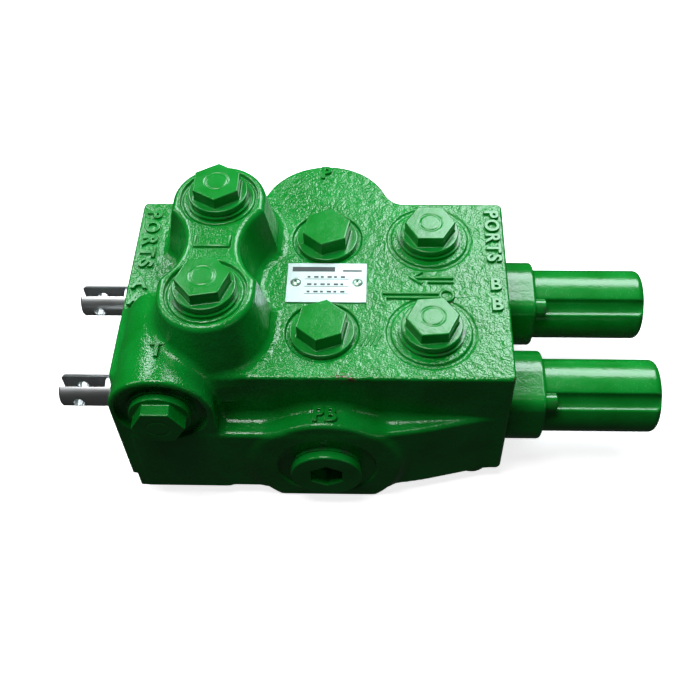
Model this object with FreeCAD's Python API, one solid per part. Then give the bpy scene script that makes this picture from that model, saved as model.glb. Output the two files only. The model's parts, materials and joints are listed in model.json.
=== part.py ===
"""Two-spool hydraulic monoblock valve.

Frame: millimetres, +X along the spools towards the spring caps, +Y towards the supply port at the rear,
+Z up. The origin is the centre of the four mounting holes, on the face that the valve is bolted down by.
Each sub-part is written to parts/NODE.step.
"""

import FreeCAD
import Part
import math
import os

# ---- casting: columns along X, counted from the middle (load check) column -------------------------
port_step = 57.0  # middle column to the A column, and to the B column
tank_step = 24.0  # A or B column on to the tank column
left_margin = 27.0  # left tank column to the left end face; also the tank boss radius
right_margin = 18.0  # right tank column to the right end face

# ---- casting: depth and height ---------------------------------------------------------------------
row_pitch = 66.0  # between the two spools
front_margin = 30.0  # front spool to the upper front face
rear_margin = 28.0  # rear spool to the rear face
spool_cover = 56.0  # spool axis below the top face
spool_floor = 31.0  # spool axis above the underside
pad_height = 8.0  # mounting pads stand below the underside by this much
block_corner_r = 3.0
block_edge_r = 1.5

# ---- casting: raised bosses ------------------------------------------------------------------------
a_boss_height = 32.0
a_boss_r = 24.4  # lobe radius at the top
a_boss_waist = 14.0  # half width of the waist between the lobes at the top
a_boss_draft = 6.5  # how much wider the boss is at its root
a_land_r = 19.4  # machined land of an A port
a_land_drop = 1.2  # below the boss's rim
a_moat_r = 20.8  # groove round the land
a_moat_drop = 2.5  # its floor below the rim
b_land_r = 21.3  # machined land of a B port
b_land_rise = 0.6  # above the top face
b_moat_r = 23.5
b_moat_depth = 0.8  # below the top face
tank_port_drop = 13.0  # tank port axis below the top face
tank_boss_tail = 47.0  # how far the tank boss runs back from the upper front face
tank_tail_r = 15.0
front_reach = 14.0  # tank and power-beyond faces stand this far out of the upper front face
apron_reach = 13.0  # lower front wall stands this far out
ledge_drop = 34.5  # ledge on the lower front wall, below the top face
ledge_root_r = 5.0
apron_bend = 34.0  # lower front wall turns back this far past the power-beyond axis
apron_top_end = 16.5  # where it meets the front face: distance from the right end, at the ledge
apron_foot_end = 4.0  # the same at the underside
skirt_inset = 3.5  # step of the left side above the underside
skirt_height = 13.0
supply_boss_r = 37.0
supply_boss_setback = 22.0  # boss axis behind the rear spool
supply_boss_shift = -2.0  # boss axis from the middle column
supply_face_r = 24.0
beyond_shift = 1.7  # power-beyond axis from the middle column
beyond_drop = 64.6  # power-beyond axis below the top face
beyond_boss_r = 40.5

# ---- mounting --------------------------------------------------------------------------------------
mount_inset = 16.0  # mounting hole from the end faces
mount_outset = 17.0  # mounting hole outside each spool row
mount_pad_r = 11.0
mount_hole_r = 4.25  # M10 tapping hole
mount_hole_depth = 14.0

# ---- ports and plugs -------------------------------------------------------------------------------
port_thread_r = 12.06  # G 3/4, minor radius
port_thread_depth = 20.0
supply_spot_r = 21.0
supply_spot_depth = 1.2
port_bore_r = 9.0
plug_collar_edge = 3.94  # collar past the thread, on radius
plug_collar_height = 4.0
plug_hex_af = 24.0
plug_hex_height = 6.8
plug_shank = 14.0
washer_height = 2.0
washer_edge = 5.24  # washer past the thread, on radius
beyond_thread_r = 15.15  # G 1, minor radius
beyond_spot_r = 27.0
beyond_spot_depth = 1.5
beyond_collar_r = 19.5
beyond_collar_height = 5.0
beyond_shank = 16.0
beyond_socket_af = 17.0
beyond_socket_depth = 12.0
beyond_thread_depth = 18.0
beyond_washer_r = 19.3
tank_spot_depth = 4.0
tank_spot_r = 23.5
thread_gap = 0.03  # between a modelled thread and its hole, on radius
socket_tip = 120.0  # point angle at the bottom of a hexagon socket

# ---- spool -----------------------------------------------------------------------------------------
spool_r = 9.0
spool_gap = 0.02  # spool in its bore, on radius
spool_stroke = 8.0
land_cover = 4.0  # a land covers a closed groove by this much
groove_depth = 4.0
groove_width = 10.0
neck_depth = 3.5
bypass_width = 8.0
bypass_height = 14.0
clevis_reach = 42.5  # clevis end from the left end face
clevis_slot_width = 7.0
clevis_slot_depth = 26.5
clevis_pin_r = 3.25
clevis_pin_inset = 11.0
clevis_chamfer = 1.0
tail_reach = 39.0  # spool end past the right end face

# ---- galleries -------------------------------------------------------------------------------------
bridge_drop = 24.0  # bridge gallery below the top face
bridge_step = 33.0  # middle column to the bridge grooves
bridge_r = 6.0
tank_gallery_r = 6.5
tank_cross_drop = 78.0
tank_cross_r = 5.0

# ---- load checks -----------------------------------------------------------------------------------
check_spot_r = 19.4
check_spot_depth = 1.9
check_collar_edge = 5.14  # collar past the thread, on radius
check_collar_height = 3.2
check_hex_height = 8.7
check_corner_cut = 0.5
check_shank = 18.0
check_chamber_step = 1.06  # chamber inside the thread, on radius
check_seat_drop = 31.0  # seat edge below the top face
check_wall = 3.86  # plug's wall round the poppet, with the thread
check_seat_step = 1.7  # seat edge inside the poppet's bore, on radius
check_bore_depth = 14.0
poppet_gap = 0.03
poppet_wall = 1.9
poppet_length = 19.0
poppet_floor = 4.0
check_wire_r = 0.7
check_coils = 6.0
check_ring_section = 1.2

# ---- end seals -------------------------------------------------------------------------------------
ring_section = 1.3  # O-ring section radius on the spool
ring_gap = 0.05
gland_width = 3.4
left_gland = 12.0  # gland middle from the left end face
right_gland = 7.0  # gland middle from the right end face
wiper_depth = 5.0
wiper_wall = 4.0
retainer_depth = 3.0  # retaining ring, flush in the left end face
retainer_wall = 6.0
retainer_gap = 0.03

# ---- spring caps -----------------------------------------------------------------------------------
flange_length = 20.5
flange_step = 4.4  # flange past the barrel, on radius
flange_chamfer = 2.4
flange_ear_r = 7.4
cap_length = 84.5
cap_wall = 6.8
cap_end_r = 4.5
cap_end_wall = 4.5
cap_screw_out = 2.3  # screw outside the barrel
cap_screw_angle = 45.0  # above level, on the front side
cap_flute_gap = 0.4
cap_ring_land = 1.8  # bore to the ring's groove
cap_ring_section = 1.0
seat_height = 3.0
seat_lip = 2.0
collar_height = 6.0
collar_gap = 0.7
spring_gap = 0.9  # spring inside to the spool or bolt
spring_side_gap = 1.3  # spring outside to the cap's bore
spring_wire_r = 1.1
spring_coils = 5.5

# ---- screws ----------------------------------------------------------------------------------------
m6_r = 3.0
m6_tap_r = 2.5
m6_head_r = 5.0
m6_head_height = 6.0
m6_socket_af = 5.0
m6_grip = 13.0  # thread length in the casting
m8_tap_r = 3.4
m8_r = 4.0
m8_head_af = 13.0
m8_head_height = 5.3
m8_corner_cut = 1.2
m8_grip = 22.0
hole_gap = 0.3  # screw in a clearance hole, on radius
drill_run = 3.0  # tapped hole past the screw's end
spot_run = 12.0  # a spot facer clears the casting this far above the face

# ---- nameplate -------------------------------------------------------------------------------------
plate_length = 43.0
plate_depth = 27.5
plate_gauge = 0.8
plate_corner_r = 0.4
nameplate_shift = 1.0  # from the middle column
rivet_inset = 4.8
rivet_r = 1.2
rivet_head_r = 2.9
rivet_head_height = 1.1
rivet_hole_r = 0.8
rivet_hole_depth = 0.7
rivet_grip = 6.0

# ---- places worked out from the sizes above --------------------------------------------------------
body_length = left_margin + 2 * (port_step + tank_step) + right_margin
left_x = -body_length / 2
right_x = body_length / 2
tank_left_x = left_x + left_margin
mid_x = tank_left_x + tank_step + port_step
a_x = mid_x - port_step
b_x = mid_x + port_step
tank_right_x = b_x + tank_step
row_ys = {"front": -row_pitch / 2, "rear": row_pitch / 2}
front_y = row_ys["front"] - front_margin
rear_y = row_ys["rear"] + rear_margin
floor_z = pad_height
spool_z = floor_z + spool_floor
top_z = spool_z + spool_cover
face_y = front_y - front_reach
tank_port_z = top_z - tank_port_drop
beyond_x = mid_x + beyond_shift
beyond_z = top_z - beyond_drop
supply_x = mid_x + supply_boss_shift
supply_boss_y = row_ys["rear"] + supply_boss_setback
supply_face_y = supply_boss_y + supply_boss_r
bridge_z = top_z - bridge_drop
a_rim_z = top_z + a_boss_height
a_land_z = a_rim_z - a_land_drop
b_land_z = top_z + b_land_rise
mount_x = body_length / 2 - mount_inset
mount_y = row_pitch / 2 + mount_outset
cap_bore_end = right_x + cap_length - cap_end_wall
spool_end_x = right_x + tail_reach

# ---- fits worked out from the sizes above ----------------------------------------------------------
plug_collar_r = port_thread_r + plug_collar_edge
washer_r = port_thread_r + washer_edge
check_collar_r = port_thread_r + check_collar_edge
check_chamber_r = port_thread_r - check_chamber_step
check_bore_r = port_thread_r - check_wall
check_seat_r = check_bore_r - check_seat_step
groove_r = spool_r + groove_depth
neck_r = spool_r - neck_depth
gland_r = spool_r + 2 * ring_section + ring_gap
wiper_r = spool_r + wiper_wall
retainer_r = spool_r + retainer_wall
bolt_corner_r = m8_head_af / math.sqrt(3)
spring_r_in = max(spool_r, bolt_corner_r) + spring_gap
cap_bore_r = spring_r_in + 2 * spring_wire_r + spring_side_gap
cap_r = cap_bore_r + cap_wall
flange_r = cap_r + flange_step
cap_screw_pitch = cap_r + cap_screw_out
cap_ring_r = cap_bore_r + cap_ring_land

X = FreeCAD.Vector(1, 0, 0)
Y = FreeCAD.Vector(0, 1, 0)
Z = FreeCAD.Vector(0, 0, 1)


# ---- shape helpers ---------------------------------------------------------------------------------
def point(x, y, z):
    """A point in the valve's frame."""
    return FreeCAD.Vector(x, y, z)


def rod(start, axis, r, length):
    """A round bar."""
    return Part.makeCylinder(r, length, start, axis)


def tube(start, axis, r_in, r_out, length):
    """A round bar with a hole through it."""
    return rod(start, axis, r_out, length).cut(rod(start, axis, r_in, length))


def block(low, high):
    """A box between two corners."""
    return Part.makeBox(high.x - low.x, high.y - low.y, high.z - low.z, low)


def ring(centre, axis, r_in, section):
    """An O-ring of round section whose hole has radius r_in."""
    return Part.makeTorus(r_in + section, section, centre, axis)


def join(shapes):
    """One solid from shapes that overlap."""
    return shapes[0].fuse(shapes[1:]).removeSplitter()


def hexagon(start, axis, across_flats, height, turn=0.0):
    """A six-sided bar. turn is the angle of its first corner."""
    r = across_flats / math.sqrt(3)
    corners = []
    for k in range(7):
        a = math.radians(turn + 60 * k)
        corners.append(point(r * math.cos(a), r * math.sin(a), 0))
    bar = Part.Face(Part.makePolygon(corners)).extrude(point(0, 0, height))
    return aim(bar, start, axis)


def aim(shape, start, axis):
    """Move a shape built up the Z axis at the origin so that it stands at start along axis."""
    moved = shape.copy()
    moved.Placement = FreeCAD.Placement(start, FreeCAD.Rotation(Z, axis)).multiply(shape.Placement)
    return moved


def turned_head(across_flats, height, turn, corner_cut):
    """A hexagon head whose top corners are turned off at 30 degrees, by corner_cut on radius."""
    face_r = across_flats / math.sqrt(3) - corner_cut
    slope = math.tan(math.radians(30))
    turned = Part.makeCone(face_r + 2 * height / slope, face_r, 2 * height)
    turned.translate(point(0, 0, -height))
    return hexagon(point(0, 0, 0), Z, across_flats, height, turn).common(turned)


def coil(start, axis, r_in, wire_r, length, turns):
    """An open coil spring. Its wire stays inside length."""
    mean_r = r_in + wire_r
    rise = length - 2 * wire_r
    path = Part.makeHelix(rise / turns, rise, mean_r)
    profile = Part.Wire(Part.makeCircle(wire_r, point(mean_r, 0, 0), Y))
    spring = Part.Wire(path.Edges).makePipeShell([profile], True, True)
    spring.translate(point(0, 0, wire_r))
    return aim(spring, start, axis)


def hull_of_two(r_mid, r_ear, reach, length):
    """A flange built up Z: a disc with an ear on each side along X, joined by tangent flats."""
    lean = math.acos((r_mid - r_ear) / reach)
    ux = math.cos(lean)
    uy = math.sin(lean)
    corners = [
        point(reach + r_ear * ux, r_ear * uy, 0),
        point(r_mid * ux, r_mid * uy, 0),
        point(-r_mid * ux, r_mid * uy, 0),
        point(-reach - r_ear * ux, r_ear * uy, 0),
        point(-reach - r_ear * ux, -r_ear * uy, 0),
        point(-r_mid * ux, -r_mid * uy, 0),
        point(r_mid * ux, -r_mid * uy, 0),
        point(reach + r_ear * ux, -r_ear * uy, 0),
    ]
    edges = [
        Part.makeLine(corners[0], corners[1]),
        Part.Arc(corners[1], point(0, r_mid, 0), corners[2]).toShape(),
        Part.makeLine(corners[2], corners[3]),
        Part.Arc(corners[3], point(-reach - r_ear, 0, 0), corners[4]).toShape(),
        Part.makeLine(corners[4], corners[5]),
        Part.Arc(corners[5], point(0, -r_mid, 0), corners[6]).toShape(),
        Part.makeLine(corners[6], corners[7]),
        Part.Arc(corners[7], point(reach + r_ear, 0, 0), corners[0]).toShape(),
    ]
    return Part.Face(Part.Wire(edges)).extrude(point(0, 0, length))


def row_point(row, x, dy=0.0, dz=0.0):
    """A point given from a spool's axis."""
    return point(x, row_ys[row] + dy, spool_z + dz)


def screw_offsets(pitch, angle):
    """Offsets across the spool axis of two screws, angle above level on the front side."""
    dy = -pitch * math.cos(math.radians(angle))
    dz = pitch * math.sin(math.radians(angle))
    return [(dy, dz), (-dy, -dz)]


# ---- casting ---------------------------------------------------------------------------------------
def main_block():
    """The plain block with rounded corners and edges."""
    body = block(point(left_x, front_y, floor_z), point(right_x, rear_y, top_z))
    upright = [e for e in body.Edges if abs(e.tangentAt(e.FirstParameter).z) > 0.9]
    body = body.makeFillet(block_corner_r, upright)
    rim = [e for e in body.Edges if e.BoundBox.ZMin > top_z - 0.01]
    return body.makeFillet(block_edge_r, rim)


def waisted_outline(lobe_r, waist, z):
    """Outline of the A boss: two lobes joined by a waist with hollow sides."""
    half = row_pitch / 2
    hollow_r = (half**2 + waist**2 - lobe_r**2) / (2 * (lobe_r - waist))
    lean = math.atan2(half, waist + hollow_r)
    dx = lobe_r * math.cos(lean)
    dy = half - lobe_r * math.sin(lean)
    right_top = point(a_x + dx, dy, z)
    right_foot = point(a_x + dx, -dy, z)
    left_top = point(a_x - dx, dy, z)
    left_foot = point(a_x - dx, -dy, z)
    return Part.Wire(
        [
            Part.Arc(right_foot, point(a_x + waist, 0, z), right_top).toShape(),
            Part.Arc(right_top, point(a_x, half + lobe_r, z), left_top).toShape(),
            Part.Arc(left_top, point(a_x - waist, 0, z), left_foot).toShape(),
            Part.Arc(left_foot, point(a_x, -half - lobe_r, z), right_foot).toShape(),
        ]
    )


def a_boss():
    """The tall figure-of-eight boss around the two A ports."""
    foot = waisted_outline(a_boss_r + a_boss_draft, a_boss_waist + a_boss_draft, top_z - block_edge_r)
    crown = waisted_outline(a_boss_r, a_boss_waist, a_rim_z)
    return Part.makeLoft([foot, crown], True, True)


def tank_boss():
    """The round-topped boss of the tank port, which runs back into the front A lobe."""
    r = left_margin
    arch = rod(point(tank_left_x, face_y, tank_port_z), Y, r, tank_boss_tail + front_reach)
    wall_top = point(tank_left_x + r, front_y + tank_boss_tail, tank_port_z)
    wall = block(point(left_x, face_y, floor_z), wall_top)
    tail = block(
        point(left_x, face_y, floor_z), point(tank_left_x + r, front_y + tank_boss_tail, tank_port_z + r)
    )
    corners = [
        e
        for e in tail.Edges
        if e.BoundBox.XMax < left_x + 0.01 and e.BoundBox.YMin > front_y + tank_boss_tail - 0.01
    ]
    return arch.fuse(wall).removeSplitter().common(tail.makeFillet(tank_tail_r, corners))


def apron_outline(end_inset, z):
    """Plan of the lower front wall, which turns back to the right of the power-beyond boss."""
    out = front_y - apron_reach
    inside = front_y + block_corner_r
    return Part.makePolygon(
        [
            point(tank_left_x, inside, z),
            point(tank_left_x, out, z),
            point(beyond_x + apron_bend, out, z),
            point(right_x - end_inset, front_y, z),
            point(right_x - end_inset, inside, z),
            point(tank_left_x, inside, z),
        ]
    )


def apron():
    """The thick lower front wall, with a ledge at its top."""
    foot = apron_outline(apron_foot_end, floor_z)
    crown = apron_outline(apron_top_end, top_z - ledge_drop)
    wall = Part.makeLoft([foot, crown], True, True)
    r = ledge_root_r
    corner = point(tank_left_x, front_y - r, top_z - ledge_drop)
    fill = block(corner, point(right_x - apron_top_end - r, front_y + 1, top_z - ledge_drop + r))
    hollow = rod(point(tank_left_x, front_y - r, top_z - ledge_drop + r), X, r, body_length)
    return join([wall, fill.cut(hollow)])


def supply_boss():
    """The round bulge at the rear with the flat face of the supply port."""
    bulge = rod(point(supply_x, supply_boss_y, floor_z), Z, supply_boss_r, top_z - floor_z)
    snout = rod(point(supply_x, rear_y - 1, spool_z), Y, supply_face_r, supply_face_y - rear_y + 1)
    return join([bulge, snout])


def beyond_boss():
    """The round boss of the power-beyond port, cut off level with the mounting face."""
    boss = rod(point(beyond_x, face_y, beyond_z), Y, beyond_boss_r, front_reach + block_corner_r)
    keep = block(point(left_x, face_y - 1, 0), point(right_x, front_y + 2 * block_corner_r, top_z))
    return boss.common(keep)


def pads():
    """Four round pads under the casting."""
    made = []
    for sx in (-1, 1):
        for sy in (-1, 1):
            made.append(rod(point(sx * mount_x, sy * mount_y, 0), Z, mount_pad_r, pad_height + 1))
    return made


def port_cut(mouth, inward, spot_r, spot_depth, thread_r, thread_depth):
    """A spot face and a threaded hole, going inward from a mouth on the boss face."""
    floor = mouth + inward * spot_depth
    spot = rod(mouth - inward * spot_run, inward, spot_r, spot_depth + spot_run)
    return [spot, rod(floor, inward, thread_r, thread_depth)]


def port_cuts(row):
    """The A and B ports and the load check pocket above one spool."""
    y = row_ys[row]
    cuts = []
    cuts.append(rod(point(a_x, y, a_land_z), Z, a_moat_r, a_boss_height))
    cuts.append(tube(point(a_x, y, a_rim_z - a_moat_drop), Z, a_land_r, a_moat_r, a_moat_drop))
    cuts.append(tube(point(b_x, y, top_z - b_moat_depth), Z, b_land_r, b_moat_r, a_moat_drop))
    for x, land_z in ((a_x, a_land_z), (b_x, b_land_z)):
        cuts.append(rod(point(x, y, land_z), -Z, port_thread_r, port_thread_depth))
        cuts.append(rod(point(x, y, spool_z), Z, port_bore_r, land_z - spool_z))
    mouth = point(mid_x, y, top_z)
    seat_z = top_z - check_seat_drop
    cone_height = check_chamber_r - check_seat_r
    thread_depth = check_shank + drill_run
    cuts += port_cut(mouth, -Z, check_spot_r, check_spot_depth, port_thread_r, thread_depth)
    chamber_foot = point(mid_x, y, seat_z + cone_height)
    cuts.append(rod(chamber_foot, Z, check_chamber_r, check_seat_drop - cone_height))
    cuts.append(Part.makeCone(check_seat_r, check_chamber_r, cone_height, point(mid_x, y, seat_z), Z))
    cuts.append(rod(point(mid_x, y, spool_z), Z, check_seat_r, seat_z - spool_z))
    return cuts


def spool_cuts(row):
    """One spool's bore, its ring grooves, its seal glands and the screw holes in both end faces."""
    cuts = [rod(row_point(row, left_x - 1), X, spool_r + spool_gap, body_length + 2)]
    for x in groove_xs():
        cuts.append(rod(row_point(row, x - groove_width / 2), X, groove_r, groove_width))
    cuts.append(rod(row_point(row, left_x + left_gland - gland_width / 2), X, gland_r, gland_width))
    cuts.append(rod(row_point(row, right_x - right_gland - gland_width / 2), X, gland_r, gland_width))
    cuts.append(rod(row_point(row, left_x), X, retainer_r + retainer_gap, retainer_depth))
    cuts.append(rod(row_point(row, left_x + retainer_depth), X, wiper_r, wiper_depth))
    depth = m6_grip + drill_run
    for dy, dz in screw_offsets(cap_screw_pitch, cap_screw_angle):
        cuts.append(rod(row_point(row, right_x, dy, dz), -X, m6_tap_r, depth))
    cuts.append(bridge_cut(row))
    return cuts


def groove_xs():
    """Ring grooves along a spool bore: tank, A, bridge, bypass, bridge, B, tank."""
    return [tank_left_x, a_x, mid_x - bridge_step, mid_x, mid_x + bridge_step, b_x, tank_right_x]


def bridge_cut(row):
    """The gallery from the load check out to both bridge grooves and down to them."""
    span = rod(point(mid_x - bridge_step, row_ys[row], bridge_z), X, bridge_r, 2 * bridge_step)
    legs = []
    for x in (mid_x - bridge_step, mid_x + bridge_step):
        legs.append(rod(point(x, row_ys[row], spool_z), Z, bridge_r, bridge_z - spool_z))
    return join([span] + legs)


def gallery_cuts():
    """Tank galleries, the bypass from row to row, and the supply, tank and power-beyond ports."""
    cuts = []
    for x in (tank_left_x, tank_right_x):
        cuts.append(rod(point(x, row_ys["front"], spool_z), Y, tank_gallery_r, row_pitch))
        cross = point(x, 0, top_z - tank_cross_drop)
        cuts.append(rod(cross, Z, tank_cross_r, tank_cross_drop - spool_cover))
    cross = point(tank_left_x, 0, top_z - tank_cross_drop)
    cuts.append(rod(cross, X, tank_cross_r, tank_right_x - tank_left_x))

    slot_low = point(mid_x - bypass_width / 2, front_y, spool_z - bypass_height / 2)
    slot_high = point(mid_x + bypass_width / 2, rear_y, spool_z + bypass_height / 2)
    cuts.append(block(slot_low, slot_high))

    mouth = point(supply_x, supply_face_y, spool_z)
    cuts += port_cut(mouth, -Y, supply_spot_r, supply_spot_depth, port_thread_r, port_thread_depth)
    cuts.append(rod(mouth, -Y, port_bore_r, supply_face_y - row_ys["rear"] - groove_r))

    mouth = point(tank_left_x, face_y, tank_port_z)
    cuts += port_cut(mouth, Y, tank_spot_r, tank_spot_depth, port_thread_r, port_thread_depth)
    cuts.append(rod(mouth, Y, port_bore_r, row_ys["front"] - face_y + port_bore_r))
    cuts.append(rod(point(tank_left_x, row_ys["front"], spool_z), Z, tank_gallery_r, tank_port_z - spool_z))

    mouth = point(beyond_x, face_y, beyond_z)
    cuts += port_cut(mouth, Y, beyond_spot_r, beyond_spot_depth, beyond_thread_r, beyond_thread_depth)
    cuts.append(rod(mouth, Y, port_bore_r, row_ys["front"] - face_y - groove_r))
    return cuts


def mount_cuts():
    """Four tapped holes in the pads."""
    made = []
    for sx in (-1, 1):
        for sy in (-1, 1):
            made.append(rod(point(sx * mount_x, sy * mount_y, 0), Z, mount_hole_r, mount_hole_depth))
    return made


def rivet_xs():
    """Where the two nameplate rivets stand along X."""
    centre = mid_x + nameplate_shift
    reach = plate_length / 2 - rivet_inset
    return [centre - reach, centre + reach]


def valve_body():
    """The casting with every port, bore and gallery."""
    solids = [main_block(), a_boss(), tank_boss(), apron(), supply_boss(), beyond_boss()] + pads()
    for row in row_ys:
        y = row_ys[row]
        solids.append(rod(point(b_x, y, top_z - 1), Z, b_land_r, b_land_rise + 1))
    casting = join(solids)
    low = point(left_x - 1, face_y - 1, floor_z - 1)
    cuts = [block(low, point(left_x + skirt_inset, rear_y + 1, floor_z + skirt_height))]
    for row in row_ys:
        cuts += port_cuts(row) + spool_cuts(row)
    cuts += gallery_cuts() + mount_cuts()
    for x in rivet_xs():
        cuts.append(rod(point(x, 0, top_z), -Z, rivet_r, rivet_grip + drill_run))
    return casting.cut(cuts).removeSplitter()


# ---- plugs and washers -----------------------------------------------------------------------------
def port_plug(spot, outward, turn):
    """A plug with a hexagon head and a collar. spot is the middle of its spot face."""
    shank = rod(point(0, 0, -plug_shank), Z, port_thread_r - thread_gap, plug_shank + washer_height)
    collar = rod(point(0, 0, washer_height), Z, plug_collar_r, plug_collar_height)
    head = hexagon(point(0, 0, washer_height + plug_collar_height), Z, plug_hex_af, plug_hex_height, turn)
    return aim(join([shank, collar, head]), spot, outward)


def port_washer(spot, outward):
    """The sealing washer under a port plug's collar."""
    return tube(spot, outward, port_thread_r, washer_r, washer_height)


def beyond_plug():
    """The power-beyond plug: a collar with a hexagon socket."""
    spot = point(beyond_x, face_y + beyond_spot_depth, beyond_z)
    shank = rod(point(0, 0, -beyond_shank), Z, beyond_thread_r - thread_gap, beyond_shank + washer_height)
    collar = rod(point(0, 0, washer_height), Z, beyond_collar_r, beyond_collar_height)
    mouth = washer_height + beyond_collar_height
    socket = hexagon(point(0, 0, mouth), -Z, beyond_socket_af, beyond_socket_depth, 30)
    tip_r = beyond_socket_af / 2
    tip_height = tip_r / math.tan(math.radians(socket_tip / 2))
    tip = Part.makeCone(tip_r, 0, tip_height, point(0, 0, mouth - beyond_socket_depth), -Z)
    return aim(join([shank, collar]).cut([socket, tip]), spot, -Y)


def beyond_washer():
    """The sealing washer of the power-beyond plug."""
    spot = point(beyond_x, face_y + beyond_spot_depth, beyond_z)
    return tube(spot, -Y, beyond_thread_r, beyond_washer_r, washer_height)


# ---- load checks -----------------------------------------------------------------------------------
def check_seat(row):
    """Middle of the face that a load check plug is screwed down on."""
    return point(mid_x, row_ys[row], top_z - check_spot_depth)


def check_plug(row, turn):
    """The load check's plug, bored from below to guide the poppet."""
    shank_r = port_thread_r - thread_gap
    shank = rod(point(0, 0, -check_shank), Z, shank_r, check_shank)
    collar = rod(point(0, 0, 0), Z, check_collar_r, check_collar_height)
    head = turned_head(plug_hex_af, check_hex_height, turn, check_corner_cut)
    head.translate(point(0, 0, check_collar_height))
    bore = rod(point(0, 0, -check_shank), Z, check_bore_r, check_bore_depth)
    seal = rod(point(0, 0, 0), Z, port_thread_r + 2 * check_ring_section + ring_gap, 2 * check_ring_section)
    keep = rod(point(0, 0, 0), Z, shank_r, 2 * check_ring_section)
    return aim(join([shank, collar, head]).cut(bore).cut(seal.cut(keep)), check_seat(row), Z)


def check_ring(row):
    """The O-ring in the groove under the load check plug's collar."""
    centre = check_seat(row) + Z * check_ring_section
    return ring(centre, Z, port_thread_r, check_ring_section)


def poppet(row):
    """A hollow poppet whose cone rests on the seat edge."""
    r = check_bore_r - poppet_gap
    foot = top_z - check_seat_drop
    cone_height = r - check_seat_r + thread_gap
    cone = Part.makeCone(check_seat_r - thread_gap, r, cone_height, point(mid_x, row_ys[row], foot), Z)
    barrel = rod(point(mid_x, row_ys[row], foot + cone_height), Z, r, poppet_length - cone_height)
    hollow = rod(point(mid_x, row_ys[row], foot + poppet_floor), Z, r - poppet_wall, poppet_length)
    return join([cone, barrel]).cut(hollow)


def check_spring(row):
    """The light spring between the poppet's floor and the bottom of the plug's bore."""
    low = top_z - check_seat_drop + poppet_floor
    high = check_seat(row).z - check_shank + check_bore_depth
    r_out = check_bore_r - poppet_gap - poppet_wall - poppet_gap * 10
    start = point(mid_x, row_ys[row], low)
    return coil(start, Z, r_out - 2 * check_wire_r, check_wire_r, high - low, check_coils)


# ---- spools and end seals --------------------------------------------------------------------------
def neck_spans():
    """Start and end along X of the thin necks between a spool's lands."""
    half = groove_width / 2
    shift = spool_stroke
    bridge_left = mid_x - bridge_step
    bridge_right = mid_x + bridge_step
    return [
        (tank_left_x - half, a_x - half - land_cover),
        (a_x + half + land_cover - 1, bridge_left + half + shift - land_cover - 2),
        (mid_x - bypass_width / 2, mid_x + bypass_width / 2),
        (bridge_right - half - shift + land_cover + 2, b_x - half - land_cover + 1),
        (b_x + half + land_cover, tank_right_x + half),
    ]


def spool(row):
    """The spool: lands and necks inside the casting, a forked clevis outside and a tapped tail."""
    start = left_x - clevis_reach
    bar = rod(row_point(row, start), X, spool_r, spool_end_x - start)
    ends = [e for e in bar.Edges if e.BoundBox.XMax - e.BoundBox.XMin < 0.01]
    bar = bar.makeChamfer(clevis_chamfer, ends)
    cuts = []
    for low, high in neck_spans():
        cuts.append(tube(row_point(row, low), X, neck_r, spool_r + 1, high - low))
    slot_low = row_point(row, start - 1, -clevis_slot_width / 2, -spool_r - 1)
    slot_high = row_point(row, start + clevis_slot_depth, clevis_slot_width / 2, spool_r + 1)
    cuts.append(block(slot_low, slot_high))
    pin_start = row_point(row, start + clevis_pin_inset, -spool_r - 1)
    cuts.append(rod(pin_start, Y, clevis_pin_r, 2 * spool_r + 2))
    cuts.append(rod(row_point(row, spool_end_x), -X, m8_tap_r, m8_grip + drill_run))
    return bar.cut(cuts)


def wiper(row):
    """The wiper ring behind the retaining ring."""
    return tube(row_point(row, left_x + retainer_depth), X, spool_r + ring_gap, wiper_r, wiper_depth)


def spool_ring(row, x):
    """An O-ring on the spool."""
    return ring(row_point(row, x), X, spool_r + ring_gap, ring_section)


def wiper_retainer(row):
    """The ring pressed into the left end face, flush with it, that keeps the wiper in."""
    return tube(row_point(row, left_x), X, spool_r + hole_gap, retainer_r, retainer_depth)


def socket_screw(seat, outward, grip_start, grip):
    """An M6 socket head screw. seat is under its head; its thread starts grip_start further in."""
    head = rod(point(0, 0, 0), Z, m6_head_r, m6_head_height)
    top = [e for e in head.Edges if e.BoundBox.ZMin > m6_head_height - 0.01]
    head = head.makeChamfer(0.6, top)
    socket = hexagon(point(0, 0, m6_head_height), -Z, m6_socket_af, m6_head_height / 2)
    shank = rod(point(0, 0, -grip_start), Z, m6_r, grip_start)
    thread = rod(point(0, 0, -grip_start - grip), Z, m6_tap_r - thread_gap, grip)
    return aim(join([head, shank, thread]).cut(socket), seat, outward)


# ---- centring springs and their caps ---------------------------------------------------------------
def spring_places():
    """Where the two seats, the collar and the two springs start along X."""
    inner_seat = right_x
    inner_spring = inner_seat + seat_height
    collar = spool_end_x
    outer_spring = collar + collar_height
    outer_seat = cap_bore_end - seat_height
    return inner_seat, inner_spring, collar, outer_spring, outer_seat


def inner_seat(row):
    """The ring that the inner spring pushes against, on the casting's end face."""
    x = spring_places()[0]
    return tube(row_point(row, x), X, spool_r + hole_gap, cap_bore_r - hole_gap, seat_height)


def outer_seat(row):
    """The cup at the closed end of the cap, with a spigot inside the outer spring."""
    x = spring_places()[4]
    disc = rod(row_point(row, x), X, cap_bore_r - hole_gap, seat_height)
    spigot = rod(row_point(row, x - seat_lip), X, spring_r_in - hole_gap, seat_lip)
    return join([disc, spigot])


def spring_collar(row):
    """The ring clamped on the spool's end, pushed by both springs."""
    x = spring_places()[2]
    return tube(row_point(row, x), X, m8_r + hole_gap, cap_bore_r - collar_gap, collar_height)


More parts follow.
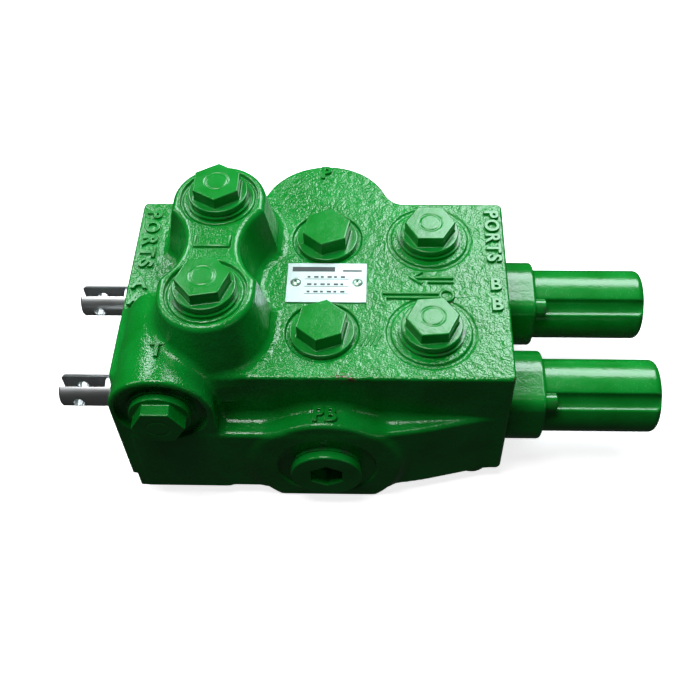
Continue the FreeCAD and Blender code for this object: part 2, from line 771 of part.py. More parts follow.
def tail_bolt(row):
    """The bolt that clamps the collar to the spool."""
    x = spring_places()[3]
    head = turned_head(m8_head_af, m8_head_height, 0, m8_corner_cut)
    shank = rod(point(0, 0, -collar_height), Z, m8_r, collar_height)
    thread = rod(point(0, 0, -collar_height - m8_grip), Z, m8_tap_r - thread_gap, m8_grip)
    return aim(join([head, shank, thread]), row_point(row, x), X)


def centring_spring(row, inner):
    """One centring spring, between a fixed seat and the collar."""
    _, inner_x, collar_x, outer_x, seat_x = spring_places()
    start, end = (inner_x, collar_x) if inner else (outer_x, seat_x)
    return coil(row_point(row, start), X, spring_r_in, spring_wire_r, end - start, spring_coils)


def spring_cap(row):
    """The cap over the springs: an eared flange and a long barrel with a flute past each screw head."""
    flange = hull_of_two(flange_r, flange_ear_r, cap_screw_pitch, flange_length)
    rim = [e for e in flange.Edges if e.BoundBox.ZMin > flange_length - 0.01]
    flange = flange.makeChamfer(flange_chamfer, rim)
    barrel = rod(point(0, 0, 0), Z, cap_r, cap_length)
    end = [e for e in barrel.Edges if e.BoundBox.ZMin > cap_length - 0.01]
    barrel = barrel.makeFillet(cap_end_r, end)
    cuts = [rod(point(0, 0, 0), Z, cap_bore_r, cap_length - cap_end_wall)]
    groove_out = cap_ring_r + 2 * cap_ring_section + ring_gap
    cuts.append(tube(point(0, 0, 0), Z, cap_ring_r - ring_gap, groove_out, 2 * cap_ring_section))
    for sx in (-1, 1):
        flute_start = point(sx * cap_screw_pitch, 0, flange_length)
        cuts.append(rod(flute_start, Z, m6_head_r + cap_flute_gap, cap_length))
        cuts.append(rod(point(sx * cap_screw_pitch, 0, 0), Z, m6_r + hole_gap, flange_length))
    cap = join([flange, barrel]).cut(cuts)
    cap.rotate(point(0, 0, 0), Z, 90 - cap_screw_angle)
    return aim(cap, row_point(row, right_x), X)


def cap_ring(row):
    """The O-ring in the cap's end groove."""
    return ring(row_point(row, right_x + cap_ring_section), X, cap_ring_r, cap_ring_section)


def cap_screws():
    """The four screws of the two caps."""
    made = []
    for row in row_ys:
        for dy, dz in screw_offsets(cap_screw_pitch, cap_screw_angle):
            seat = row_point(row, right_x + flange_length, dy, dz)
            made.append(socket_screw(seat, X, flange_length, m6_grip))
    return Part.makeCompound(made)


# ---- nameplate -------------------------------------------------------------------------------------
def nameplate():
    """The metal plate on the top face, between the two load checks."""
    centre = mid_x + nameplate_shift
    low = point(centre - plate_length / 2, -plate_depth / 2, top_z)
    plate = block(low, point(centre + plate_length / 2, plate_depth / 2, top_z + plate_gauge))
    upright = [e for e in plate.Edges if abs(e.tangentAt(e.FirstParameter).z) > 0.9]
    plate = plate.makeFillet(plate_corner_r, upright)
    return plate.cut([rod(point(x, 0, top_z), Z, rivet_r + 0.1, plate_gauge) for x in rivet_xs()])


def nameplate_rivets():
    """Two round-headed rivets with a hole in the middle."""
    made = []
    for x in rivet_xs():
        pin = rod(point(x, 0, top_z + plate_gauge), -Z, rivet_r - thread_gap, rivet_grip + plate_gauge)
        dome_r = (rivet_head_r**2 + rivet_head_height**2) / (2 * rivet_head_height)
        ball = Part.makeSphere(dome_r, point(x, 0, top_z + plate_gauge + rivet_head_height - dome_r))
        cap = rod(point(x, 0, top_z + plate_gauge), Z, rivet_head_r + 1, rivet_head_height)
        top = point(x, 0, top_z + plate_gauge + rivet_head_height)
        made.append(join([pin, ball.common(cap)]).cut(rod(top, -Z, rivet_hole_r, rivet_hole_depth)))
    return Part.makeCompound(made)


# ---- every sub-part --------------------------------------------------------------------------------
def sub_parts():
    """Name and shape of every sub-part."""
    made = {"valve_body": valve_body()}
    turns = {("a", "front"): 10, ("a", "rear"): 30, ("b", "front"): 5, ("b", "rear"): 0}
    columns = {"a": (a_x, a_land_z), "b": (b_x, b_land_z)}
    for (port, row), turn in turns.items():
        x, land_z = columns[port]
        spot = point(x, row_ys[row], land_z)
        made[f"port_plug_{port}_{row}"] = port_plug(spot, Z, turn)
        made[f"port_washer_{port}_{row}"] = port_washer(spot, Z)
    spot = point(tank_left_x, face_y + tank_spot_depth, tank_port_z)
    made["tank_port_plug"] = port_plug(spot, -Y, 0)
    made["tank_port_washer"] = port_washer(spot, -Y)
    made["power_beyond_plug"] = beyond_plug()
    made["power_beyond_washer"] = beyond_washer()
    for row in row_ys:
        made[f"load_check_plug_{row}"] = check_plug(row, 20)
        made[f"load_check_ring_{row}"] = check_ring(row)
        made[f"load_check_poppet_{row}"] = poppet(row)
        made[f"load_check_spring_{row}"] = check_spring(row)
        made[f"spool_{row}"] = spool(row)
        made[f"wiper_{row}"] = wiper(row)
        made[f"spool_ring_left_{row}"] = spool_ring(row, left_x + left_gland)
        made[f"spool_ring_right_{row}"] = spool_ring(row, right_x - right_gland)
        made[f"wiper_retainer_{row}"] = wiper_retainer(row)
        made[f"spring_seat_inner_{row}"] = inner_seat(row)
        made[f"centring_spring_inner_{row}"] = centring_spring(row, True)
        made[f"spring_collar_{row}"] = spring_collar(row)
        made[f"tail_bolt_{row}"] = tail_bolt(row)
        made[f"centring_spring_outer_{row}"] = centring_spring(row, False)
        made[f"spring_seat_outer_{row}"] = outer_seat(row)
        made[f"spring_cap_{row}"] = spring_cap(row)
        made[f"cap_ring_{row}"] = cap_ring(row)
    made["cap_screws"] = cap_screws()
    made["nameplate"] = nameplate()
    made["nameplate_rivets"] = nameplate_rivets()
    return made


os.makedirs("parts", exist_ok=True)
for name, shape in sub_parts().items():
    shape.exportStep(f"parts/{name}.step")
    print(name, shape.isValid(), len(shape.Solids), round(shape.Volume))
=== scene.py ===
"""Looks of the two-spool monoblock valve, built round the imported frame.

Blender's data is in metres. The named sizes and the field modeller are in millimetres."""

import json
import math

import bmesh
import bpy
import numpy as np
import openvdb
from mathutils import Matrix, Vector


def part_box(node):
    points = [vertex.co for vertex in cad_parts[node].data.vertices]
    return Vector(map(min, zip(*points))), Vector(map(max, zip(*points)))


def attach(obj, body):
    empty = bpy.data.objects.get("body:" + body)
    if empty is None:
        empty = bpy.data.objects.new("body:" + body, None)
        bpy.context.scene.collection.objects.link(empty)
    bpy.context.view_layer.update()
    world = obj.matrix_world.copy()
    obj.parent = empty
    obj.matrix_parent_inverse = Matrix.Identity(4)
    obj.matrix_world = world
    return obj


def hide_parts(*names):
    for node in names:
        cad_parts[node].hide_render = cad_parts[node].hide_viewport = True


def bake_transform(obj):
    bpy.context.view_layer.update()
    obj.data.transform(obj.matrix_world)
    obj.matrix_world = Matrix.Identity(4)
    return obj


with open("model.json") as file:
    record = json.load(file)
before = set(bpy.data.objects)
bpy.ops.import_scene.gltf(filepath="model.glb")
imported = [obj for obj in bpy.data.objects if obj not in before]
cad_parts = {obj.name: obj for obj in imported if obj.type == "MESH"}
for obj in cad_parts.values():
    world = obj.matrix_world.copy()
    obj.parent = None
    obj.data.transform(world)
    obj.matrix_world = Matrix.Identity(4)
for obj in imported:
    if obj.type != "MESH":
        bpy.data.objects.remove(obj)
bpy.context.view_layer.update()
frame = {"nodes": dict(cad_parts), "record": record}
MM = 0.001
BODY = "body"
ROWS = ("front", "rear")


# ---- places, in millimetres, from the frame ---------------------------------------------------------
def box_mm(node):
    """Lowest and highest corner of a CAD node, in millimetres."""
    low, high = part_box(node)
    return low / MM, high / MM


def middle(node):
    """Middle of a CAD node's box, in millimetres."""
    low, high = box_mm(node)
    return (low + high) / 2


def mount(name):
    """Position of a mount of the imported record, in millimetres."""
    found = next(m for m in frame["record"]["mounts"] if m["name"] == name)
    return Vector(found["pos_m"]) / MM


BODY_LOW, BODY_HIGH = box_mm("valve_body")
LEFT, RIGHT = BODY_LOW.x, BODY_HIGH.x
FACE_Y = BODY_LOW.y
TOP = box_mm("nameplate")[0].z
ROW_Y = {row: middle(f"spool_{row}").y for row in ROWS}
SPOOL_Z = middle("spool_front").z
A_X = middle("port_plug_a_front").x
B_X = middle("port_plug_b_front").x
MID_X = middle("load_check_plug_front").x
TANK = middle("tank_port_plug")
BEYOND = middle("power_beyond_plug")
SUPPLY = mount("supply_port")
PADS = next(m for m in frame["record"]["mounts"] if m["name"] == "mounting_holes")["dims"]

INSIDE = 0.02  # every modelled surface stays this far inside the CAD box
CLEAR = 9.0  # how far a cut runs on past the surface that it opens


# ---- sizes of the casting, in millimetres -----------------------------------------------------------
PAD_HEIGHT, PAD_R = 8.0, 11.0
FRONT = FACE_Y + 14.0  # front wall, behind the port faces
REAR = ROW_Y["rear"] + 28.0
LEDGE_DROP = 34.5  # front ledge below the top face
TANK_BOSS_R, TANK_TAIL = 27.0, 47.0
BEYOND_BOSS_R = 40.5
SUPPLY_LOBE_R, SUPPLY_REACH, SNOUT_R = 37.0, 31.0, 24.0
A_RISE = 32.0  # A port faces above the top face
A_TOP = TOP + A_RISE
A_LOBE_R, A_WAIST, A_DRAFT = 24.4, 14.0, 6.5

# Machined faces and holes. A land is the ring that a washer seats on, a moat the step round it.
A_LAND = middle("port_washer_a_front").z - 1.0
A_LAND_R, A_MOAT_R, A_MOAT_DEPTH = 19.4, 20.8, 2.5
B_LAND = middle("port_washer_b_front").z - 1.0
B_LAND_R, B_MOAT_R, B_MOAT_DEPTH = 21.3, 23.5, 0.8
CHECK_SPOT = middle("load_check_ring_front").z - 1.2
CHECK_SPOT_R = 19.4
PORT_HOLE_R, PORT_HOLE_DEPTH = 12.3, 21.0
TANK_SPOT_R, TANK_SPOT_DEPTH = 23.5, 4.0
BEYOND_SPOT_R, BEYOND_SPOT_DEPTH, BEYOND_HOLE_R = 27.0, 1.5, 15.4
FACE_HOLE_DEPTH = 24.0
SUPPLY_SPOT_R, SUPPLY_SPOT_DEPTH = 21.0, 1.2
SUPPLY_HOLE_R, SUPPLY_HOLE_DEPTH, SUPPLY_DRILL_R = 12.1, 21.2, 9.0
SPOOL_BORE_R = 9.3
WIPER_POCKET_R, WIPER_POCKET_DEPTH = 13.0, 5.0

# Plugs, built up from the face that they screw into, and spring caps, built up from the end face.
PLUG_HEX, PLUG_THREAD_R = 24.0, 11.9
PORT_PLUG = {"collar_r": 16.0, "collar_low": 2.0, "collar_high": 6.0, "top": 12.8, "shank": 14.0}
CHECK_PLUG = {"collar_r": 17.2, "collar_low": 0.0, "collar_high": 3.2, "top": 11.9, "shank": 18.0}
RING_MARK_R, RING_MARK_DEPTH = 6.0, 0.25
BEYOND_COLLAR_R, BEYOND_TOP, BEYOND_SOCKET = 19.5, 7.0, 17.0
BEYOND_THREAD_R, BEYOND_SHANK = 15.0, 16.0
FLANGE_R, FLANGE_LENGTH = 24.6, 20.5
EAR_R, EAR_REACH = 7.4, 22.5
BARREL_R, CAP_BORE_R, CAP_END_WALL = 20.2, 13.4, 4.5
FLUTE_R, SCREW_HOLE_R = 5.4, 3.3
CAP_GRID_REACH = 30.0


# ---- field modeller: a solid is where its field is below zero ---------------------------------------
class Grid:
    """A block of sample points. x, y and z broadcast against each other."""

    def __init__(self, low, high, voxel):
        self.low = np.array(low, float) - 2 * voxel
        self.voxel = voxel
        counts = np.ceil((np.array(high, float) + 2 * voxel - self.low) / voxel).astype(int) + 1
        axes = [self.low[i] + voxel * np.arange(counts[i]) for i in range(3)]
        self.x = axes[0].astype(np.float32)[:, None, None]
        self.y = axes[1].astype(np.float32)[None, :, None]
        self.z = axes[2].astype(np.float32)[None, None, :]


def voxel(full, quick):
    return full


def disc(u, v, centre, r):
    """Distance from a circle."""
    return np.hypot(u - centre[0], v - centre[1]) - r


def rect(u, v, low, high, corner=0.0):
    """Distance from a rectangle with round corners."""
    du = np.abs(u - (low[0] + high[0]) / 2) - (high[0] - low[0]) / 2 + corner
    dv = np.abs(v - (low[1] + high[1]) / 2) - (high[1] - low[1]) / 2 + corner
    return np.hypot(np.maximum(du, 0), np.maximum(dv, 0)) + np.minimum(np.maximum(du, dv), 0) - corner


def extrude(flat, w, low, high, edge=0.0):
    """A prism on a flat field, from low to high, with round edges."""
    dw = np.abs(w - (low + high) / 2) - (high - low) / 2 + edge
    df = flat + edge
    return np.hypot(np.maximum(df, 0), np.maximum(dw, 0)) + np.minimum(np.maximum(df, dw), 0) - edge


def join(a, b, r=0.0):
    """Union with a hollow fillet of radius r."""
    if np.isscalar(r) and r == 0:
        return np.minimum(a, b)
    fillet = np.hypot(np.maximum(r - a, 0), np.maximum(r - b, 0))
    return np.maximum(r, np.minimum(a, b)) - fillet


def keep(a, b, r=0.0):
    """Intersection with a round edge of radius r."""
    if r == 0:
        return np.maximum(a, b)
    edge = np.hypot(np.maximum(r + a, 0), np.maximum(r + b, 0))
    return np.minimum(-r, np.maximum(a, b)) + edge


def cut(a, b, r=0.0):
    """Difference with a round edge of radius r."""
    return keep(a, -b, r)


def sample(field, grid, points):
    """Field values at points, in millimetres, by trilinear interpolation."""
    place = (points - grid.low) / grid.voxel
    base = np.clip(np.floor(place).astype(int), 0, np.array(field.shape) - 2)
    part = place - base
    total = np.zeros(len(points))
    for corner in range(8):
        step = np.array([corner & 1, corner >> 1 & 1, corner >> 2 & 1])
        weight = np.where(step, part, 1 - part).prod(axis=1)
        i, j, k = (base + step).T
        total += weight * field[i, j, k]
    return total


def mesh_from_field(name, grid, field):
    """A mesh of the surface where the field is zero, in metres, shaded by the field's own slope."""
    band = 3 * grid.voxel
    values = np.clip(field, -band, band).astype(np.float32) / grid.voxel
    level = openvdb.FloatGrid(background=3.0)
    level.copyFromArray(np.ascontiguousarray(values), tolerance=0.0)
    points, triangles, quads = level.convertToPolygons(isovalue=0.0, adaptivity=0.0)
    points = points * grid.voxel + grid.low
    slope = np.zeros_like(points, dtype=float)
    for axis in range(3):
        step = np.zeros(3)
        step[axis] = 0.6 * grid.voxel
        slope[:, axis] = sample(field, grid, points + step) - sample(field, grid, points - step)
    slope /= np.maximum(np.linalg.norm(slope, axis=1), 1e-9)[:, None]
    mesh = bpy.data.meshes.new(name)
    mesh.from_pydata((points * MM).tolist(), [], quads.tolist() + triangles.tolist())
    mesh.shade_smooth()
    mesh.normals_split_custom_set_from_vertices(slope.tolist())
    return mesh


def add(name, data, place=None):
    """An object made from mesh or curve data, placed by a matrix."""
    made = bpy.data.objects.new(name, data)
    bpy.context.scene.collection.objects.link(made)
    if place is not None:
        made.matrix_world = place
    return made


# ---- casting ---------------------------------------------------------------------------------------
def casting_field(g):
    """The casting: block, bosses and ledge, blended as sand castings are, with the machined cuts."""
    x, y, z = g.x, g.y, g.z
    supply_y = REAR + SUPPLY_REACH - SUPPLY_LOBE_R
    block = rect(x, y, (LEFT, FRONT), (RIGHT, REAR), 3.0)
    plan = join(block, disc(x, y, (SUPPLY.x, supply_y), SUPPLY_LOBE_R), 8.0)
    body = extrude(plan, z, PAD_HEIGHT, TOP, 1.6)

    ledge_z = TOP - LEDGE_DROP
    bend = np.array([BEYOND.x + 34.0, FACE_Y + 1.0])
    run = np.array([RIGHT - 10.0, FRONT]) - bend
    normal = np.array([run[1], -run[0]]) / np.hypot(*run)
    side = (x - bend[0]) * normal[0] + (y - bend[1]) * normal[1]
    wall = keep(FACE_Y + 1.0 - y, side, 6.0)
    wall = keep(keep(wall, y - FRONT - 12.0), LEFT + 10.0 - x)
    wall = keep(wall, z - ledge_z, 2.5)
    reach = np.clip((RIGHT - 15.0 - x) / 45.0, 0.0, 1.0)
    body = join(body, wall, 1.0 + 4.5 * reach)

    beyond_round = disc(x, z, (BEYOND.x, BEYOND.z), BEYOND_BOSS_R)
    body = join(body, extrude(beyond_round, y, FACE_Y, FRONT + 8.0, 3.0), 5.0)

    leg = rect(x, z, (LEFT, 0.0), (TANK.x + TANK_BOSS_R, TANK.z))
    arch = join(disc(x, z, (TANK.x, TANK.z), TANK_BOSS_R), leg)
    tank = extrude(arch, y, FACE_Y, FRONT + TANK_TAIL, 2.5)
    round_tail = rect(x, y, (LEFT, FACE_Y - 60), (TANK.x + 90, FRONT + TANK_TAIL), 15.0)
    tank = keep(tank, round_tail, 2.0)
    body = join(body, tank, 4.0)

    half = ROW_Y["rear"]
    draft = A_DRAFT * np.clip((A_TOP - z) / A_RISE, 0.0, 1.2)
    along = np.maximum(np.abs(y) - half, 0.0)
    lobes = np.hypot(x - A_X, along) - A_LOBE_R
    hollow_r = (half**2 + A_WAIST**2 - A_LOBE_R**2) / (2 * (A_LOBE_R - A_WAIST))
    hollows = np.hypot(np.abs(x - A_X) - A_WAIST - hollow_r, y) - hollow_r
    outline = np.maximum(lobes, -hollows) - draft
    body = join(body, extrude(outline * 0.98, z, TOP - 20.0, A_TOP, 2.6), 4.5)

    body = keep(body, LEFT - x, 2.0)
    body = keep(body, FACE_Y - y, 1.6)
    snout = extrude(disc(x, z, (SUPPLY.x, SUPPLY.z), SNOUT_R), y, REAR - 2, BODY_HIGH.y, 2.0)
    body = join(body, snout, 4.0)
    body = keep(body, np.minimum(PAD_HEIGHT - z, np.maximum(beyond_round, -z)), 1.0)
    skirt = rect(x, z, (LEFT - CLEAR, -CLEAR), (LEFT + 3.5, PAD_HEIGHT + 13.0))
    body = cut(body, skirt, 0.8)
    for sx in (-1, 1):
        for sy in (-1, 1):
            centre = (sx * PADS["spacing_x_mm"] / 2, sy * PADS["spacing_y_mm"] / 2)
            pad = extrude(disc(x, y, centre, PAD_R), z, 0.0, 20.0, 1.0)
            body = join(body, pad, 2.0)
            hole = extrude(disc(x, y, centre, PADS["hole_r_mm"]), z, -5.0, 14.0)
            body = cut(body, hole, 0.4)
    return machined(body, x, y, z)


def machined(body, x, y, z):
    """Port lands, spot faces, threaded holes and spool bores, then the planes of the CAD box."""
    for row in ROWS:
        row_y = ROW_Y[row]
        at = (A_X, row_y)
        body = cut(body, extrude(disc(x, y, at, A_MOAT_R), z, A_LAND, A_TOP + CLEAR), 0.5)
        groove = ring_groove(x, y, z, at, A_LAND_R, A_MOAT_R, A_TOP - A_MOAT_DEPTH, A_LAND + 1)
        body = cut(body, groove)
        at = (B_X, row_y)
        body = join(body, extrude(disc(x, y, at, B_LAND_R), z, TOP - 5, B_LAND, 0.3), 0.3)
        groove = ring_groove(x, y, z, at, B_LAND_R, B_MOAT_R, TOP - B_MOAT_DEPTH, TOP + CLEAR)
        body = cut(body, groove, 0.5)
        at = (MID_X, row_y)
        body = cut(body, extrude(disc(x, y, at, CHECK_SPOT_R), z, CHECK_SPOT, TOP + CLEAR), 0.5)
        for port_x, mouth in ((A_X, A_LAND), (B_X, B_LAND), (MID_X, TOP)):
            hole = disc(x, y, (port_x, row_y), PORT_HOLE_R)
            body = cut(body, extrude(hole, z, mouth - PORT_HOLE_DEPTH, mouth + CLEAR))
        body = cut(body, disc(y, z, (row_y, SPOOL_Z), SPOOL_BORE_R))
        pocket = disc(y, z, (row_y, SPOOL_Z), WIPER_POCKET_R)
        body = cut(body, extrude(pocket, x, LEFT - CLEAR, LEFT + WIPER_POCKET_DEPTH))
    faces = (
        (TANK, TANK_SPOT_R, TANK_SPOT_DEPTH, PORT_HOLE_R),
        (BEYOND, BEYOND_SPOT_R, BEYOND_SPOT_DEPTH, BEYOND_HOLE_R),
    )
    for centre, spot_r, spot_depth, hole_r in faces:
        at = (centre.x, centre.z)
        spot = extrude(disc(x, z, at, spot_r), y, FACE_Y - CLEAR, FACE_Y + spot_depth)
        body = cut(body, spot, 0.6)
        body = cut(body, extrude(disc(x, z, at, hole_r), y, FACE_Y - CLEAR, FACE_Y + FACE_HOLE_DEPTH))
    at = (SUPPLY.x, SUPPLY.z)
    back = BODY_HIGH.y
    spot = extrude(disc(x, z, at, SUPPLY_SPOT_R), y, back - SUPPLY_SPOT_DEPTH, back + CLEAR)
    body = cut(body, spot, 0.4)
    hole = extrude(disc(x, z, at, SUPPLY_HOLE_R), y, back - SUPPLY_HOLE_DEPTH, back + CLEAR)
    body = cut(body, hole, 0.6)
    body = cut(body, extrude(disc(x, z, at, SUPPLY_DRILL_R), y, ROW_Y["rear"] + 13, back + CLEAR))
    for low, high, w in ((LEFT, RIGHT, x), (FACE_Y, BODY_HIGH.y, y), (0.0, A_TOP, z)):
        body = np.maximum(np.maximum(body, low + INSIDE - w), w - high + INSIDE)
    return body


def ring_groove(x, y, z, at, r_in, r_out, low, high):
    """A ring-shaped space round a land."""
    return extrude(np.maximum(disc(x, y, at, r_out), -disc(x, y, at, r_in)), z, low, high)


def make_casting():
    """The casting, which stands for the plain CAD casting."""
    g = Grid(BODY_LOW, BODY_HIGH, voxel(0.75, 1.2))
    made = add("casting", mesh_from_field("casting", g, casting_field(g)))
    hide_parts("valve_body")
    finish(made, BODY, CASTING_PAINT)


# ---- plugs and caps --------------------------------------------------------------------------------
def six_sided(u, v, across_flats, turn):
    """Distance from a hexagon whose first corner is at the angle turn, in degrees."""
    flat = -across_flats
    for k in range(6):
        a = math.radians(turn + 30 + 60 * k)
        flat = np.maximum(flat, u * math.cos(a) + v * math.sin(a) - across_flats / 2)
    return flat


def plug_mesh(name, collar_r, collar_low, collar_high, top, shank, turn, dimple=True):
    """A hexagon plug along Z, its edges softened by paint. dimple adds a ring mark on the head."""
    g = Grid((-collar_r, -collar_r, -shank), (collar_r, collar_r, top), voxel(0.4, 0.7))
    u, v, w = g.x, g.y, g.z
    head = extrude(six_sided(u, v, PLUG_HEX, turn), w, collar_high - 2, top, 0.45)
    collar = extrude(disc(u, v, (0, 0), collar_r), w, collar_low, collar_high, 0.6)
    field = join(head, collar, 0.7)
    thread = disc(u, v, (0, 0), PLUG_THREAD_R)
    field = join(field, extrude(thread, w, -shank, collar_high - 1, 0.6))
    if dimple:
        mark = np.abs(np.hypot(u, v) - RING_MARK_R) - 0.5
        field = cut(field, keep(mark, top - RING_MARK_DEPTH - w), 0.4)
    return mesh_from_field(name, g, field)


def make_plugs():
    """The port plugs, the load check plugs and the power-beyond plug."""
    lay_down = Matrix.Rotation(math.pi / 2, 4, "X")
    turns = {"a_front": 10, "a_rear": 30, "b_front": 5, "b_rear": 0}
    for key, turn in turns.items():
        node = f"port_plug_{key}"
        mesh = plug_mesh(node, turn=turn, **PORT_PLUG)
        spot = Vector((middle(node).x, middle(node).y, box_mm(node)[1].z - PORT_PLUG["top"]))
        stand(node, mesh, Matrix.Translation(spot * MM))
    mesh = plug_mesh("tank_port_plug", turn=0, **PORT_PLUG)
    spot = Vector((TANK.x, box_mm("tank_port_plug")[0].y + PORT_PLUG["top"], TANK.z))
    stand("tank_port_plug", mesh, Matrix.Translation(spot * MM) @ lay_down)
    for row in ROWS:
        node = f"load_check_plug_{row}"
        mesh = plug_mesh(node, turn=20, dimple=False, **CHECK_PLUG)
        spot = Vector((MID_X, ROW_Y[row], CHECK_SPOT))
        stand(node, mesh, Matrix.Translation(spot * MM))
    spot = Vector((BEYOND.x, box_mm("power_beyond_plug")[0].y + BEYOND_TOP, BEYOND.z))
    stand("power_beyond_plug", beyond_mesh(), Matrix.Translation(spot * MM) @ lay_down)


def stand(node, mesh, place):
    """A detailed plug in the place of a CAD one."""
    made = add(node + "_head", mesh, place)
    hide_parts(node)
    finish(made, BODY, PLUG_PAINT)


def beyond_mesh():
    """The power-beyond plug: a thick collar with a hexagon socket."""
    r = BEYOND_COLLAR_R
    g = Grid((-r, -r, -BEYOND_SHANK), (r, r, BEYOND_TOP), voxel(0.4, 0.7))
    u, v, w = g.x, g.y, g.z
    field = extrude(disc(u, v, (0, 0), r), w, 2.0, BEYOND_TOP, 1.0)
    field = join(field, extrude(disc(u, v, (0, 0), BEYOND_THREAD_R), w, -BEYOND_SHANK, 3, 0.6))
    field = cut(field, extrude(six_sided(u, v, BEYOND_SOCKET, 30), w, -5.0, 20.0), 0.5)
    return mesh_from_field("power_beyond_plug", g, field)


def eared(u, v, r_mid, r_ear, reach):
    """Distance from a disc with an ear on each side along u, joined by tangent flats."""
    along, across = np.abs(u) + 0 * v, np.abs(v) + 0 * u
    lean = (r_mid - r_ear) / reach
    flat = math.sqrt(1 - lean**2)
    k = flat * along - lean * across
    outside = np.hypot(along - reach, across) - r_ear
    inside = np.hypot(along, across) - r_mid
    between = lean * along + flat * across - r_mid
    return np.where(k < 0, inside, np.where(k > flat * reach, outside, between))


def make_caps():
    """Both spring caps from one mesh: eared flange, long barrel, a flute past each screw head."""
    low, high = box_mm("spring_cap_front")
    length = high.x - low.x
    half = (high.y - low.y) / 2
    side = CAP_GRID_REACH
    g = Grid((-side, -side, 0), (side, side, length), voxel(0.55, 0.9))
    turn = math.radians(45)
    u = g.x * math.cos(turn) + g.y * math.sin(turn)
    v = g.y * math.cos(turn) - g.x * math.sin(turn)
    w = g.z
    flange = extrude(eared(u, v, FLANGE_R, EAR_R, EAR_REACH), w, 0, FLANGE_LENGTH, 1.8)
    barrel = extrude(disc(u, v, (0, 0), BARREL_R), w, 0, length - INSIDE, 4.0)
    field = join(flange, barrel, 1.2)
    for ear in (-EAR_REACH, EAR_REACH):
        flute = extrude(disc(u, v, (ear, 0), FLUTE_R), w, FLANGE_LENGTH, length + CLEAR)
        field = cut(field, flute, 0.7)
        field = cut(field, extrude(disc(u, v, (ear, 0), SCREW_HOLE_R), w, -CLEAR, FLANGE_LENGTH + 0.5))
    field = cut(field, extrude(disc(u, v, (0, 0), CAP_BORE_R), w, -CLEAR, length - CAP_END_WALL))
    field = np.maximum(field, np.maximum(np.abs(g.x), np.abs(g.y)) - half + INSIDE)
    mesh = mesh_from_field("spring_cap", g, field)
    point_right = Matrix.Rotation(math.pi / 2, 4, "Y")
    for row in ROWS:
        spot = Vector((low.x, ROW_Y[row], SPOOL_Z))
        made = add(f"cap_{row}", mesh, Matrix.Translation(spot * MM) @ point_right)
        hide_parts(f"spring_cap_{row}")
        finish(made, BODY, CAP_PAINT)


# ---- raised marks and the nameplate's print --------------------------------------------------------
FONT_PER_HEIGHT = 1.38  # font size for one unit of letter height
PRINT_LENGTH = 43.0
INK = 0.04  # thickness of the printed bars


def raised_text(name, text, place, size, turn=0.0, spread=1.0):
    """Generic port lettering standing a little out of the casting, facing up."""
    data = bpy.data.curves.new(name, "FONT")
    data.body = text
    data.size = size * FONT_PER_HEIGHT * MM
    data.align_x = "CENTER"
    data.align_y = "CENTER"
    data.space_character = spread
    data.extrude = 1.0 * MM
    data.bevel_depth = 0.3 * MM
    data.bevel_resolution = 2
    data.offset = 0.22 * MM
    place = Matrix.Translation(Vector(place) * MM) @ Matrix.Rotation(math.radians(turn), 4, "Z")
    finish(add(name, data, place), BODY, MARK_PAINT)


def raised_lines(name, lines, r=1.0):
    """Cast ridges along lines of points, half sunk in the casting."""
    data = bpy.data.curves.new(name, "CURVE")
    data.dimensions = "3D"
    data.bevel_depth = r * MM
    data.bevel_resolution = 3
    data.use_fill_caps = True
    for line in lines:
        spline = data.splines.new("POLY")
        spline.points.add(len(line) - 1)
        for spot, found in zip(spline.points, line):
            spot.co = (*(Vector(found) * MM), 1)
    finish(add(name, data), BODY, MARK_PAINT)


def round_line(centre, r, z, steps=20):
    """A circle of points."""
    turn = 2 * math.pi / steps
    x, y = centre
    return [(x + r * math.cos(k * turn), y + r * math.sin(k * turn), z) for k in range(steps + 1)]


def make_marks():
    """Port letters, pictograms and small foundry marks."""
    top = TOP + 0.1
    raised_text("mark_ports_left", "PORTS", (LEFT + 8, 32, top), 8.0, -90, 1.45)
    raised_text("mark_a_rear", "A", (LEFT + 7.5, -1.5, top + 0.4), 8.0)
    raised_text("mark_a_front", "A", (LEFT + 7.5, -14, top + 1.6), 8.0)
    raised_text("mark_ports_right", "PORTS", (RIGHT - 7, 35, top), 8.0, -90, 1.25)
    raised_text("mark_b_rear", "B", (RIGHT - 7, -1, top), 8.0)
    raised_text("mark_b_front", "B", (RIGHT - 7, -15, top), 8.0)
    raised_text("mark_supply", "P", (1.8, 85.0, top), 8.8)
    raised_text("mark_tank", "T", (TANK.x, -57.0, TANK.z + 27.3), 8.5)
    raised_text("mark_beyond", "PB", (BEYOND.x, -69.5, BEYOND.z + 41.0), 8.6)
    z = TOP + 0.3
    arrow = [[(74, 4, z), (52, 4, z)], [(57, 8, z), (51, 4, z), (57, 0, z)], [(74, 1, z), (60, 1, z)]]
    raised_lines("mark_arrow", arrow)
    lever = [[(36, -7, z), (66, -7, z)], [(38, -10, z), (66, -10, z)], round_line((70, -8.5), 3.6, z)]
    raised_lines("mark_lever", lever)
    z = A_TOP + 0.2
    raised_lines("mark_waist", [[(A_X - 9, 4, z), (A_X - 9, -3, z), (A_X + 9, -3, z), (A_X + 9, 4, z)]])
    hatch = [[(25 + 2.4 * k, -42, TOP + 0.1), (28 + 2.4 * k, -35, TOP + 0.1)] for k in range(4)]
    raised_lines("mark_hatch", hatch, 0.45)


def bar(bm, low, high, z):
    """One printed bar, a thin raised slab."""
    size = Vector((high[0] - low[0], high[1] - low[1], INK)) * MM
    centre = Vector(((low[0] + high[0]) / 2, (low[1] + high[1]) / 2, z + INK / 2)) * MM
    place = Matrix.Translation(centre) @ Matrix.Diagonal(size).to_4x4()
    bmesh.ops.create_cube(bm, size=1.0, matrix=place)


